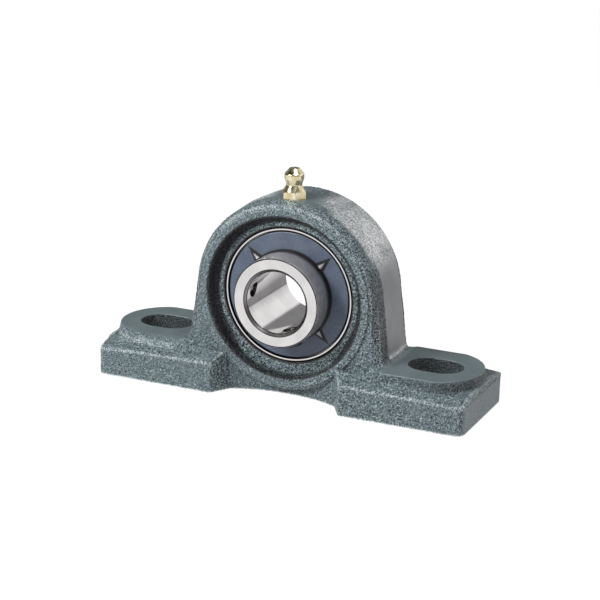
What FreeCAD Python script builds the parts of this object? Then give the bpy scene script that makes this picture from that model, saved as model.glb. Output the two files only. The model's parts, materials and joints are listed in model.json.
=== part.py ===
import FreeCAD, Part
import math
import os

# Two-bolt pillow block with a wide-inner-ring ball bearing insert.
# Millimetres. +X runs along the base, +Z is up, and -Y is the front, on the set-screw side.
# The origin is the middle of the base's underside; the shaft axis runs along Y above it.

# Housing, overall
CENTRE_HEIGHT = 33.3
DOME_WALL = 8.2
BOLT_SPACING = 95.0
BOLT_TO_END = 16.0
BASE_WIDTH = 38.0
SLOT_WIDTH = 13.0
SLOT_LENGTH = 18.0

# Housing, feet and pads. Each drop is how far the foot's top lies below the pad,
# at its side edge, at its shoulder and along its middle.
PAD_HEIGHT = 15.0
PAD_HALF_WIDTH = 14.6
PAD_END_SPARE = 0.8
PAD_INNER_X = 31.0
PAD_DRAFT = 1.2
PAD_CORNER = 2.0
FOOT_DROP_AT_BODY = (4.6, 1.8, 1.3)
FOOT_DROP_AT_BOLT = (5.4, 2.3, 1.8)
FOOT_DROP_AT_END = (6.0, 4.4, 3.2)
FOOT_SIDE_DRAFT = 0.3
FOOT_EDGE_RADIUS = 1.6
FOOT_END_CORNER = 3.0

# Housing, waist between the feet
WAIST_HALF_WIDTH = 8.1
WAIST_END_X = 18.3
WAIST_END_Y = 12.2
FOOT_INNER_X = 22.4
FOOT_INNER_CORNER = 1.5

# Housing, dome and its front and back faces
FLANK_FLARE = 7.4
SHOULDER_SETBACK = 2.0
SHOULDER_DROP = 0.6
FACE_DROP = 1.7
FACE_FLARE = 0.6
FLANK_FILLET = 3.0
SKIRT_DEPTH = 5.0
BOSS_DROP = 1.3
BOSS_EDGE_RADIUS = 1.2
LIP_DROP = 2.5
LIP_PROUD = 0.7
LIP_EDGE_RADIUS = 0.5

# Housing, recess and spherical seat
RECESS_MARGIN = 2.5
RECESS_DEPTH = 4.1
RECESS_DRAFT = 0.3
RECESS_MOUTH_RADIUS = 1.3
RECESS_FLOOR_FILLET = 0.8
SEAT_MARGIN = 0.4
SEAT_CHAMFER = 0.45
SEAT_GAP = 0.03
LOADING_GAP = 0.15

# Bearing rings
BORE_RADIUS = 10.0
BORE_CHAMFER = 1.0
RACE_WALL = 2.751
RACE_GAP = 0.03
RACE_SPARE = 0.159
INNER_RACE_DEPTH = 1.75
INNER_FRONT_REACH = 10.0
INNER_BACK_REACH = 4.4
INNER_EDGE_RADIUS = 0.35
OUTER_RACE_DEPTH = 1.65
OUTER_EDGE_CHAMFER = 0.3
SEAL_BORE_WALL = 2.4

# Balls and cage
BALL_DIAMETER = 7.938
BALL_COUNT = 8
FIRST_BALL_ANGLE = 22.5
CAGE_LAND_GAP = 0.85
CAGE_SHEET = 0.6
POCKET_GAP = 0.13
RIVET_RADIUS = 0.6
RIVET_HEAD_RADIUS = 1.05
RIVET_HEAD_HEIGHT = 0.5
RIVET_GAP = 0.02

# Seals and slingers
SEAL_CAGE_GAP = 0.901
SEAL_SHEET = 0.55
SEAL_RIM_DEPTH = 0.45
SEAL_RIM_SHEET = 0.45
SEAL_RUBBER_HEIGHT = 1.4
SEAL_LIP_GAP = 0.04
SEAL_FIT = 0.01
SLINGER_RECESS = 0.2
SLINGER_SEAL_GAP = 0.4
SLINGER_SHEET = 0.6
SLINGER_RIM_DEPTH = 1.3
SLINGER_COLLAR_DEPTH = 1.3
SLINGER_GAP = 0.35
SLINGER_FIT = 0.01
CLAW_COUNT = 4
FIRST_CLAW_ANGLE = 45.0
CLAW_LENGTH = 4.6
CLAW_WIDTH = 2.9
CLAW_HEIGHT = 1.5

# Set screws with captive ball points
SCREW_ANGLES = (169.0, 289.0)
SCREW_OFFSET = 5.0
SCREW_DIAMETER = 5.0
SCREW_LENGTH = 4.5
SCREW_THREAD_GAP = 0.05
SCREW_BALL_RADIUS = 1.5
SCREW_BALL_GAP = 0.03
SCREW_BALL_PROUD = 0.6
SCREW_REST_CLEARANCE = 0.35
SCREW_SOCKET_FLATS = 2.5
SCREW_WEB = 0.3
SCREW_END_CHAMFER = 0.4

# Ball that keeps the outer ring from turning
STOP_BALL_RADIUS = 1.25
STOP_BALL_SINK = 0.2
STOP_GAP = 0.04
SWIVEL_LIMIT = 3.0

# Lubrication
NIPPLE_Y = -5.5
NIPPLE_SPOT_DEPTH = 0.35
NIPPLE_SPOT_GAP = 0.3
NIPPLE_THREAD_RADIUS = 3.0
NIPPLE_THREAD_LENGTH = 5.0
NIPPLE_THREAD_GAP = 0.03
NIPPLE_HOLE_SPARE = 0.5
NIPPLE_HEX_FLATS = 7.0
NIPPLE_HEX_HEIGHT = 2.6
NIPPLE_NECK_RISE = 1.8
NIPPLE_HEAD_RISE = 2.1
NIPPLE_HEAD_BAND = 1.4
NIPPLE_CROWN_RISE = 1.8
NIPPLE_HEAD_RADIUS = 3.1
NIPPLE_NECK_RADIUS = 2.4
NIPPLE_TIP_RADIUS = 1.6
NIPPLE_CURVE_RADIUS = 0.8
NIPPLE_PASSAGE_RADIUS = 0.8
NIPPLE_MOUTH_RADIUS = 0.75
NIPPLE_BALL_RADIUS = 1.15
NIPPLE_BALL_SIDE_GAP = 0.15
NIPPLE_BALL_GAP = 0.02
NIPPLE_CONE_HEIGHT = 1.0
NIPPLE_MOUTH_DEPTH = 0.5
SPRING_WIRE_RADIUS = 0.15
SPRING_TURNS = 5
SPRING_LENGTH = 4.2
SPRING_GAP = 0.05
GREASE_PASSAGE_RADIUS = 1.5
GREASE_GROOVE_OFFSET = 4.5
GREASE_GROOVE_WIDTH = 2.0
GREASE_GROOVE_DEPTH = 0.5
GREASE_HOLE_RADIUS = 0.6

# How far a cutting tool runs past the surface that it cuts
OVERRUN = 1.0

# Radii of the bearing, from the bore outwards
BALL_RADIUS = BALL_DIAMETER / 2
GROOVE_RADIUS = BALL_RADIUS + RACE_SPARE
PITCH_RADIUS = BORE_RADIUS + RACE_WALL + RACE_GAP + BALL_RADIUS
OUTER_RING_RADIUS = PITCH_RADIUS + BALL_RADIUS + RACE_GAP + RACE_WALL
INNER_LAND_RADIUS = BORE_RADIUS + RACE_WALL + INNER_RACE_DEPTH
OUTER_LAND_RADIUS = OUTER_RING_RADIUS - RACE_WALL - OUTER_RACE_DEPTH
SEAL_BORE_RADIUS = OUTER_RING_RADIUS - SEAL_BORE_WALL
SEAL_CORE_INNER_RADIUS = INNER_LAND_RADIUS + SEAL_RUBBER_HEIGHT

# Half widths of the bearing, from the balls outwards
SEAL_SHELF = BALL_RADIUS + POCKET_GAP + CAGE_SHEET + SEAL_CAGE_GAP
SLINGER_FACE = SEAL_SHELF + SEAL_SHEET + SEAL_RIM_DEPTH + SLINGER_SEAL_GAP + SLINGER_RIM_DEPTH
OUTER_HALF_WIDTH = SLINGER_FACE + SLINGER_RECESS
INNER_RING_FRONT = SLINGER_FACE + INNER_FRONT_REACH
INNER_RING_BACK = SLINGER_FACE + INNER_BACK_REACH

# Sizes of the housing that follow from the bearing in it
SEAT_RADIUS = OUTER_RING_RADIUS + SEAT_GAP
RECESS_RADIUS = OUTER_RING_RADIUS + RECESS_MARGIN
DOME_RADIUS = OUTER_RING_RADIUS + DOME_WALL
BOSS_RADIUS = DOME_RADIUS - BOSS_DROP
LIP_RADIUS = DOME_RADIUS - LIP_DROP
RECESS_FLOOR = OUTER_HALF_WIDTH + SEAT_MARGIN
LIP_HALF_WIDTH = RECESS_FLOOR + RECESS_DEPTH
FACE_HALF_WIDTH = LIP_HALF_WIDTH - LIP_PROUD
SHOULDER_HALF_WIDTH = FACE_HALF_WIDTH - SHOULDER_SETBACK
OVERALL_HEIGHT = CENTRE_HEIGHT + DOME_RADIUS
BASE_LENGTH = BOLT_SPACING + 2 * BOLT_TO_END
HALF_LENGTH = BASE_LENGTH / 2
HALF_WIDTH = BASE_WIDTH / 2
BOLT_X = BOLT_SPACING / 2

# Places of the small parts
SCREW_Y = -(INNER_RING_FRONT - SCREW_OFFSET)
SCREW_RADIUS = SCREW_DIAMETER / 2
SCREW_BALL_CENTRE = BORE_RADIUS + SCREW_REST_CLEARANCE + SCREW_BALL_RADIUS
STOP_BALL_CENTRE = OUTER_RING_RADIUS - STOP_BALL_SINK
NIPPLE_BORE_RADIUS = NIPPLE_BALL_RADIUS + NIPPLE_BALL_SIDE_GAP
NIPPLE_NECK_HEIGHT = NIPPLE_HEX_HEIGHT + NIPPLE_NECK_RISE
NIPPLE_HEAD_LOW = NIPPLE_NECK_HEIGHT + NIPPLE_HEAD_RISE
NIPPLE_HEAD_HIGH = NIPPLE_HEAD_LOW + NIPPLE_HEAD_BAND
NIPPLE_HEIGHT = NIPPLE_HEAD_HIGH + NIPPLE_CROWN_RISE
AXIS = FreeCAD.Vector(0, 0, CENTRE_HEIGHT)
ALONG_SHAFT = FreeCAD.Vector(0, 1, 0)
UP = FreeCAD.Vector(0, 0, 1)


# Drawing helpers

def via(u, v):
    """A point that the edge between its two neighbours bends through."""
    return ("via", u, v)


def rounding(before, corner, after, radius):
    """Start, middle and end of the arc that rounds a corner of an outline."""
    here = FreeCAD.Vector(corner[0], corner[1], 0)
    back = (FreeCAD.Vector(before[0], before[1], 0) - here).normalize()
    on = (FreeCAD.Vector(after[0], after[1], 0) - here).normalize()
    half = back.getAngle(on) / 2
    inward = (back + on).normalize()
    reach = radius / math.tan(half)
    middle = here + inward * (radius / math.sin(half) - radius)
    return here + back * reach, middle, here + on * reach


def closed_outline(place, *marks):
    """Closed wire through (u, v) corners. A third number rounds a corner; via() bends an edge."""
    corners = []
    bends = {}
    for mark in marks:
        if mark[0] == "via":
            bends[len(corners) - 1] = mark[1:]
        else:
            corners.append(mark)
    count = len(corners)
    turns = []
    for i, corner in enumerate(corners):
        if len(corner) > 2:
            before = corners[i - 1]
            after = corners[(i + 1) % count]
            start, middle, end = rounding(before, corner, after, corner[2])
            turns.append([place(point.x, point.y) for point in (start, middle, end)])
        else:
            turns.append([place(*corner)])
    edges = []
    for i, turn in enumerate(turns):
        if len(turn) == 3:
            edges.append(Part.Arc(*turn).toShape())
        following = turns[(i + 1) % count][0]
        if i in bends:
            edges.append(Part.Arc(turn[-1], place(*bends[i]), following).toShape())
        else:
            edges.append(Part.LineSegment(turn[-1], following).toShape())
    return Part.Wire(edges)


def turned(*marks):
    """Solid turned about the shaft axis from an outline in (radius, y)."""
    wire = closed_outline(lambda r, y: FreeCAD.Vector(r, y, CENTRE_HEIGHT), *marks)
    return Part.Face(wire).revolve(AXIS, ALONG_SHAFT, 360)


def turned_upright(x, y, *marks):
    """Solid turned about a vertical axis from an outline in (radius, z)."""
    wire = closed_outline(lambda r, z: FreeCAD.Vector(x + r, y, z), *marks)
    return Part.Face(wire).revolve(FreeCAD.Vector(x, y, 0), UP, 360)


def prism(low, high, *marks):
    """Upright prism between two heights from an outline in (x, y)."""
    wire = closed_outline(lambda x, y: FreeCAD.Vector(x, y, low), *marks)
    return Part.Face(wire).extrude(UP * (high - low))


def around_shaft(radius, angle, y=0.0):
    """Point at a radius and an angle, in degrees from +X towards +Z, about the shaft axis."""
    turn = math.radians(angle)
    return FreeCAD.Vector(radius * math.cos(turn), y, CENTRE_HEIGHT + radius * math.sin(turn))


def radial_cylinder(radius, angle, y, inner, outer):
    """Cylinder that points away from the shaft axis, between two distances from it."""
    direction = (around_shaft(1, angle) - AXIS).normalize()
    return Part.makeCylinder(radius, outer - inner, around_shaft(inner, angle, y), direction)


def mirrored_in_y(shape):
    return shape.mirror(FreeCAD.Vector(0, 0, 0), ALONG_SHAFT)


def mirrored_in_x(shape):
    return shape.mirror(FreeCAD.Vector(0, 0, 0), FreeCAD.Vector(1, 0, 0))


def half_chord(radius, distance):
    """Half the width of a circle, measured along a line at this distance from its centre."""
    return math.sqrt(radius ** 2 - distance ** 2)


# Housing

def foot_section(x, drops):
    """Cross-section of the base at one station, with its top at these drops below the pad."""
    edge, shoulder, ridge = [PAD_HEIGHT - drop for drop in drops]
    side = HALF_WIDTH - FOOT_SIDE_DRAFT
    return closed_outline(
        lambda y, z: FreeCAD.Vector(x, y, z),
        (-HALF_WIDTH, 0),
        (HALF_WIDTH, 0),
        (side, edge, FOOT_EDGE_RADIUS),
        (PAD_HALF_WIDTH, shoulder),
        (0, ridge),
        (-PAD_HALF_WIDTH, shoulder),
        (-side, edge, FOOT_EDGE_RADIUS),
    )


def base():
    """Both feet and the narrow waist between them, with rounded upright corners."""
    stations = (
        (-HALF_LENGTH, FOOT_DROP_AT_END),
        (-BOLT_X, FOOT_DROP_AT_BOLT),
        (0, FOOT_DROP_AT_BODY),
        (BOLT_X, FOOT_DROP_AT_BOLT),
        (HALF_LENGTH, FOOT_DROP_AT_END),
    )
    block = Part.makeLoft([foot_section(*station) for station in stations], True, True)
    plan = prism(
        -OVERRUN,
        OVERALL_HEIGHT,
        (-HALF_LENGTH, -HALF_WIDTH, FOOT_END_CORNER),
        (-FOOT_INNER_X, -HALF_WIDTH, FOOT_INNER_CORNER),
        (-WAIST_END_X, -WAIST_END_Y),
        via(0, -WAIST_HALF_WIDTH),
        (WAIST_END_X, -WAIST_END_Y),
        (FOOT_INNER_X, -HALF_WIDTH, FOOT_INNER_CORNER),
        (HALF_LENGTH, -HALF_WIDTH, FOOT_END_CORNER),
        (HALF_LENGTH, HALF_WIDTH, FOOT_END_CORNER),
        (FOOT_INNER_X, HALF_WIDTH, FOOT_INNER_CORNER),
        (WAIST_END_X, WAIST_END_Y),
        via(0, WAIST_HALF_WIDTH),
        (-WAIST_END_X, WAIST_END_Y),
        (-FOOT_INNER_X, HALF_WIDTH, FOOT_INNER_CORNER),
        (-HALF_LENGTH, HALF_WIDTH, FOOT_END_CORNER),
    )
    return block.common(plan)


def over_base(height):
    """Block over the whole base, from its underside up to a height."""
    corner = FreeCAD.Vector(-HALF_LENGTH, -HALF_WIDTH, 0)
    return Part.makeBox(BASE_LENGTH, BASE_WIDTH, height, corner)


def pad_outline(z, spread):
    """Outline of a bolt pad: straight beside the body, round about the bolt at its outer end."""
    width = PAD_HALF_WIDTH + spread
    radius = width + PAD_END_SPARE
    reach = half_chord(radius, width)
    return closed_outline(
        lambda x, y: FreeCAD.Vector(x, y, z),
        (PAD_INNER_X, -width, PAD_CORNER),
        (BOLT_X + reach, -width),
        via(BOLT_X + radius, 0),
        (BOLT_X + reach, width),
        (PAD_INNER_X, width, PAD_CORNER),
    )


def pad():
    """Raised bolt pad on the right foot, with drafted sides."""
    root = PAD_HEIGHT - FOOT_DROP_AT_END[0]
    block = Part.makeLoft([pad_outline(root, PAD_DRAFT), pad_outline(PAD_HEIGHT, 0)], True, True)
    return block.common(over_base(PAD_HEIGHT))


def arch_section(y, radius, flare):
    """Front view of the body at one station: round crown, flared flanks, filleted onto the pads."""
    lean = math.radians(flare)
    crown_x = radius * math.cos(lean)
    crown_z = CENTRE_HEIGHT + radius * math.sin(lean)
    flank_x = crown_x + (crown_z - PAD_HEIGHT) * math.tan(lean)
    skirt_x = flank_x + FLANK_FILLET
    bottom = min(CENTRE_HEIGHT - half_chord(BOSS_RADIUS, WAIST_END_X), PAD_HEIGHT - SKIRT_DEPTH)
    return closed_outline(
        lambda x, z: FreeCAD.Vector(x, y, z),
        (-skirt_x, bottom),
        (skirt_x, bottom),
        (skirt_x, PAD_HEIGHT),
        (flank_x, PAD_HEIGHT, FLANK_FILLET),
        (crown_x, crown_z),
        via(0, CENTRE_HEIGHT + radius),
        (-crown_x, crown_z),
        (-flank_x, PAD_HEIGHT, FLANK_FILLET),
        (-skirt_x, PAD_HEIGHT),
    )


def body():
    """Domed body, widest at its middle plane and drafted towards both faces."""
    face = DOME_RADIUS - FACE_DROP
    shoulder = DOME_RADIUS - SHOULDER_DROP
    stations = (
        (-FACE_HALF_WIDTH, face, FACE_FLARE),
        (-SHOULDER_HALF_WIDTH, shoulder, FLANK_FLARE),
        (0, DOME_RADIUS, FLANK_FLARE),
        (SHOULDER_HALF_WIDTH, shoulder, FLANK_FLARE),
        (FACE_HALF_WIDTH, face, FACE_FLARE),
    )
    return Part.makeLoft([arch_section(*station) for station in stations], True, True)


def boss():
    """Round underside of the body, which overhangs the waist."""
    disc = turned(
        (0, -FACE_HALF_WIDTH),
        (BOSS_RADIUS, -FACE_HALF_WIDTH, BOSS_EDGE_RADIUS),
        (BOSS_RADIUS, FACE_HALF_WIDTH, BOSS_EDGE_RADIUS),
        (0, FACE_HALF_WIDTH),
    )
    return disc.common(over_base(PAD_HEIGHT))


def lips():
    """Flat rings that stand a little proud of both faces."""
    return turned(
        (0, -LIP_HALF_WIDTH),
        (LIP_RADIUS, -LIP_HALF_WIDTH, LIP_EDGE_RADIUS),
        (LIP_RADIUS, LIP_HALF_WIDTH, LIP_EDGE_RADIUS),
        (0, LIP_HALF_WIDTH),
    )


def recess_cut():
    """Tool for the front recess, with a rounded mouth, a filleted floor and a chamfered seat."""
    mouth = RECESS_RADIUS + RECESS_MOUTH_RADIUS
    edge_y = -(LIP_HALF_WIDTH - RECESS_MOUTH_RADIUS)
    diagonal = RECESS_MOUTH_RADIUS * math.sqrt(0.5)
    seat_y = -(RECESS_FLOOR - SEAT_CHAMFER)
    seat_edge = half_chord(SEAT_RADIUS, seat_y)
    return turned(
        (0, -LIP_HALF_WIDTH - OVERRUN),
        (mouth, -LIP_HALF_WIDTH - OVERRUN),
        (mouth, -LIP_HALF_WIDTH),
        via(mouth - diagonal, edge_y - diagonal),
        (RECESS_RADIUS, edge_y),
        (RECESS_RADIUS - RECESS_DRAFT, -RECESS_FLOOR, RECESS_FLOOR_FILLET),
        (seat_edge + SEAT_CHAMFER, -RECESS_FLOOR),
        (seat_edge, seat_y),
        (0, seat_y),
    )


def loading_notches():
    """Tool for the two notches, open to the back, through which the insert is turned in edgeways."""
    height = 2 * (OUTER_HALF_WIDTH + LOADING_GAP)
    reach = OUTER_RING_RADIUS + LOADING_GAP
    corner = FreeCAD.Vector(-reach, 0, CENTRE_HEIGHT - height / 2)
    block = Part.makeBox(2 * reach, RECESS_FLOOR + OVERRUN, height, corner)
    drum = Part.makeCylinder(reach, RECESS_FLOOR + OVERRUN, AXIS, ALONG_SHAFT)
    return block.common(drum)


def stop_groove():
    """Tool for the groove under the insert that guides the stop ball, open to the back."""
    width = STOP_BALL_RADIUS + STOP_GAP
    swing = STOP_BALL_CENTRE * math.sin(math.radians(SWIVEL_LIMIT))
    floor = CENTRE_HEIGHT - STOP_BALL_CENTRE - STOP_BALL_RADIUS - STOP_GAP
    top = CENTRE_HEIGHT - half_chord(SEAT_RADIUS, RECESS_FLOOR) + OVERRUN
    front = -swing - STOP_GAP
    slot = Part.makeBox(
        2 * width, RECESS_FLOOR + OVERRUN - front, top - floor, FreeCAD.Vector(-width, front, floor)
    )
    return slot.fuse(Part.makeCylinder(width, top - floor, FreeCAD.Vector(0, front, floor), UP))


def nipple_seat_height():
    """Height of the spot face under the grease nipple."""
    drop = SHOULDER_DROP * abs(NIPPLE_Y) / SHOULDER_HALF_WIDTH
    return OVERALL_HEIGHT - drop - NIPPLE_SPOT_DEPTH


def grease_way():
    """Tool for the spot face, the tapped hole and the passage down to the seat."""
    seat = nipple_seat_height()
    spot_radius = NIPPLE_HEX_FLATS / math.sqrt(3) + NIPPLE_SPOT_GAP
    hole_bottom = seat - NIPPLE_THREAD_LENGTH - NIPPLE_HOLE_SPARE
    place = FreeCAD.Vector(0, NIPPLE_Y, seat)
    spot = Part.makeCylinder(spot_radius, NIPPLE_HEX_HEIGHT, place, UP)
    hole = Part.makeCylinder(
        NIPPLE_THREAD_RADIUS, seat + OVERRUN - hole_bottom, FreeCAD.Vector(0, NIPPLE_Y, hole_bottom), UP
    )
    inside = CENTRE_HEIGHT + half_chord(SEAT_RADIUS, abs(NIPPLE_Y) + GREASE_PASSAGE_RADIUS) - OVERRUN
    passage = Part.makeCylinder(
        GREASE_PASSAGE_RADIUS, hole_bottom + OVERRUN - inside, FreeCAD.Vector(0, NIPPLE_Y, inside), UP
    )
    return spot.fuse([hole, passage])


def bolt_slot():
    """Tool for the right-hand bolt slot."""
    radius = SLOT_WIDTH / 2
    straight = SLOT_LENGTH / 2 - radius
    return prism(
        -OVERRUN,
        PAD_HEIGHT + OVERRUN,
        (BOLT_X - straight, -radius),
        (BOLT_X + straight, -radius),
        via(BOLT_X + straight + radius, 0),
        (BOLT_X + straight, radius),
        (BOLT_X - straight, radius),
        via(BOLT_X - straight - radius, 0),
    )


def housing():
    right_pad = pad()
    casting = body().fuse([base(), right_pad, mirrored_in_x(right_pad), boss(), lips()])
    front = recess_cut()
    slot = bolt_slot()
    seat = Part.makeSphere(SEAT_RADIUS, AXIS)
    tools = [
        front,
        mirrored_in_y(front),
        seat,
        loading_notches(),
        stop_groove(),
        grease_way(),
        slot,
        mirrored_in_x(slot),
    ]
    return casting.cut(tools).removeSplitter()


# Rings

def outer_ring():
    """Outer ring with a spherical outside, one deep race, and a bore for a seal at each side."""
    centre = PITCH_RADIUS + BALL_RADIUS + RACE_GAP - GROOVE_RADIUS
    race_half = half_chord(GROOVE_RADIUS, OUTER_LAND_RADIUS - centre)
    edge_y = OUTER_HALF_WIDTH - OUTER_EDGE_CHAMFER
    edge_r = half_chord(OUTER_RING_RADIUS, edge_y)
    ring = turned(
        (SEAL_BORE_RADIUS, -OUTER_HALF_WIDTH),
        (edge_r - OUTER_EDGE_CHAMFER, -OUTER_HALF_WIDTH),
        (edge_r, -edge_y),
        via(OUTER_RING_RADIUS, 0),
        (edge_r, edge_y),
        (edge_r - OUTER_EDGE_CHAMFER, OUTER_HALF_WIDTH),
        (SEAL_BORE_RADIUS, OUTER_HALF_WIDTH),
        (SEAL_BORE_RADIUS, SEAL_SHELF),
        (OUTER_LAND_RADIUS, SEAL_SHELF),
        (OUTER_LAND_RADIUS, race_half),
        via(centre + GROOVE_RADIUS, 0),
        (OUTER_LAND_RADIUS, -race_half),
        (OUTER_LAND_RADIUS, -SEAL_SHELF),
        (SEAL_BORE_RADIUS, -SEAL_SHELF),
    )
    groove_floor = half_chord(OUTER_RING_RADIUS, GREASE_GROOVE_OFFSET) - GREASE_GROOVE_DEPTH
    groove = turned(
        (groove_floor, -GREASE_GROOVE_OFFSET - GREASE_GROOVE_WIDTH / 2),
        (OUTER_RING_RADIUS + OVERRUN, -GREASE_GROOVE_OFFSET - GREASE_GROOVE_WIDTH / 2),
        (OUTER_RING_RADIUS + OVERRUN, -GREASE_GROOVE_OFFSET + GREASE_GROOVE_WIDTH / 2),
        (groove_floor, -GREASE_GROOVE_OFFSET + GREASE_GROOVE_WIDTH / 2),
    )
    hole = radial_cylinder(
        GREASE_HOLE_RADIUS, 90, -GREASE_GROOVE_OFFSET, OUTER_LAND_RADIUS - OVERRUN, OUTER_RING_RADIUS
    )
    pocket = radial_cylinder(
        STOP_BALL_RADIUS + STOP_GAP,
        -90,
        0,
        STOP_BALL_CENTRE - STOP_BALL_RADIUS - STOP_GAP,
        OUTER_RING_RADIUS + OVERRUN,
    )
    return ring.cut([groove, hole, pocket])


def inner_ring():
    """Wide inner ring: chamfered bore, one race, and two tapped holes on the front side."""
    centre = PITCH_RADIUS - BALL_RADIUS - RACE_GAP + GROOVE_RADIUS
    race_half = half_chord(GROOVE_RADIUS, centre - INNER_LAND_RADIUS)
    ring = turned(
        (BORE_RADIUS + BORE_CHAMFER, -INNER_RING_FRONT),
        (INNER_LAND_RADIUS, -INNER_RING_FRONT, INNER_EDGE_RADIUS),
        (INNER_LAND_RADIUS, -race_half),
        via(centre - GROOVE_RADIUS, 0),
        (INNER_LAND_RADIUS, race_half),
        (INNER_LAND_RADIUS, INNER_RING_BACK, INNER_EDGE_RADIUS),
        (BORE_RADIUS + BORE_CHAMFER, INNER_RING_BACK),
        (BORE_RADIUS, INNER_RING_BACK - BORE_CHAMFER),
        (BORE_RADIUS, -INNER_RING_FRONT + BORE_CHAMFER),
    )
    holes = []
    for angle in SCREW_ANGLES:
        start = BORE_RADIUS - OVERRUN
        holes.append(radial_cylinder(SCREW_RADIUS, angle, SCREW_Y, start, INNER_LAND_RADIUS + OVERRUN))
    return ring.cut(holes)


# Balls and cage

def ball_angle(index):
    return FIRST_BALL_ANGLE + 360.0 * index / BALL_COUNT


def ball(index):
    return Part.makeSphere(BALL_RADIUS, around_shaft(PITCH_RADIUS, ball_angle(index)))


def rivet_points():
    """Middles of the rivets, halfway between neighbouring balls."""
    half_step = 180.0 / BALL_COUNT
    return [around_shaft(PITCH_RADIUS, ball_angle(i) + half_step) for i in range(BALL_COUNT)]


def cage_back():
    """Back half of the pressed ribbon cage: flats between the balls, round pockets over them."""
    inner = INNER_LAND_RADIUS + CAGE_LAND_GAP
    outer = OUTER_LAND_RADIUS - CAGE_LAND_GAP
    pocket_radius = BALL_RADIUS + POCKET_GAP
    ribbon = turned((inner, 0), (outer, 0), (outer, CAGE_SHEET), (inner, CAGE_SHEET))
    room = turned((inner, 0), (outer, 0), (outer, BALL_DIAMETER), (inner, BALL_DIAMETER))
    centres = [around_shaft(PITCH_RADIUS, ball_angle(i)) for i in range(BALL_COUNT)]
    bulges = [Part.makeSphere(pocket_radius + CAGE_SHEET, centre).common(room) for centre in centres]
    pockets = [Part.makeSphere(pocket_radius, centre) for centre in centres]
    rivet_holes = []
    for point in rivet_points():
        radius = RIVET_RADIUS + RIVET_GAP
        rivet_holes.append(Part.makeCylinder(radius, CAGE_SHEET, point, ALONG_SHAFT))
    return ribbon.fuse(bulges).cut(pockets + rivet_holes)


def rivet(point):
    """One rivet along the shaft direction, with a low round head at each end."""
    shank = Part.makeCylinder(RIVET_RADIUS, 2 * CAGE_SHEET, point - ALONG_SHAFT * CAGE_SHEET, ALONG_SHAFT)
    dome = (RIVET_HEAD_RADIUS ** 2 + RIVET_HEAD_HEIGHT ** 2) / (2 * RIVET_HEAD_HEIGHT)
    heads = []
    for side in (-1, 1):
        seat = point + ALONG_SHAFT * (side * CAGE_SHEET)
        sphere = Part.makeSphere(dome, seat + ALONG_SHAFT * (side * (RIVET_HEAD_HEIGHT - dome)))
        slab = Part.makeCylinder(dome, RIVET_HEAD_HEIGHT, seat, ALONG_SHAFT * side)
        heads.append(sphere.common(slab))
    return shank.fuse(heads)


def cage_rivets():
    return Part.makeCompound([rivet(point) for point in rivet_points()])


# Seals and slingers, drawn for the back and mirrored for the front

def seal_core():
    """Steel washer of a seal, pressed into the outer ring against its shelf."""
    outer = SEAL_BORE_RADIUS - SEAL_FIT
    top = SEAL_SHELF + SEAL_SHEET
    return turned(
        (SEAL_CORE_INNER_RADIUS, SEAL_SHELF),
        (outer, SEAL_SHELF),
        (outer, top + SEAL_RIM_DEPTH),
        (outer - SEAL_RIM_SHEET, top + SEAL_RIM_DEPTH),
        (outer - SEAL_RIM_SHEET, top),
        (SEAL_CORE_INNER_RADIUS, top),
    )


def seal_lip():
    """Rubber ring bonded to the washer's inner edge, with two lips that run on the inner ring."""
    touch = INNER_LAND_RADIUS + SEAL_LIP_GAP
    root = (touch + SEAL_CORE_INNER_RADIUS) / 2
    top = SEAL_SHELF + SEAL_SHEET
    flare = SEAL_SHEET / 2
    middle = SEAL_SHELF + flare
    return turned(
        (touch, SEAL_SHELF - flare),
        (root, SEAL_SHELF),
        (SEAL_CORE_INNER_RADIUS, SEAL_SHELF),
        (SEAL_CORE_INNER_RADIUS, top),
        (root, top),
        (touch, top + flare),
        ((touch + root) / 2, middle),
    )


def claw(angle):
    """One pressed claw of a slinger: a pyramid, tallest at the inner ring, running out to a point."""
    radial = (around_shaft(1, angle) - AXIS).normalize()
    across = radial.cross(ALONG_SHAFT)
    inner = INNER_LAND_RADIUS + SLINGER_SHEET
    root = AXIS + radial * inner + ALONG_SHAFT * (SLINGER_FACE - SLINGER_SHEET / 2)
    left = root + across * (CLAW_WIDTH / 2)
    right = root - across * (CLAW_WIDTH / 2)
    tip = root + radial * CLAW_LENGTH
    peak = root + ALONG_SHAFT * CLAW_HEIGHT
    triangles = ((left, tip, right), (left, peak, tip), (tip, peak, right), (right, peak, left))
    faces = [Part.Face(Part.makePolygon(list(corners) + [corners[0]])) for corners in triangles]
    return Part.Solid(Part.Shell(faces))


def slinger():
    """Pressed steel ring that turns with the inner ring and shields the seal."""
    bore = INNER_LAND_RADIUS + SLINGER_FIT
    outer = SEAL_BORE_RADIUS - SLINGER_GAP
    under = SLINGER_FACE - SLINGER_SHEET
    ring = turned(
        (bore, SLINGER_FACE - SLINGER_COLLAR_DEPTH),
        (bore + SLINGER_SHEET, SLINGER_FACE - SLINGER_COLLAR_DEPTH),
        (bore + SLINGER_SHEET, under),
        (outer - SLINGER_SHEET, under),
        (outer - SLINGER_SHEET, SLINGER_FACE - SLINGER_RIM_DEPTH),
        (outer, SLINGER_FACE - SLINGER_RIM_DEPTH),
        (outer, SLINGER_FACE, SLINGER_SHEET),
        (bore, SLINGER_FACE),
    )
    claws = [claw(FIRST_CLAW_ANGLE + 360.0 * i / CLAW_COUNT) for i in range(CLAW_COUNT)]
    return ring.fuse(claws)


# Set screws

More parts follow.
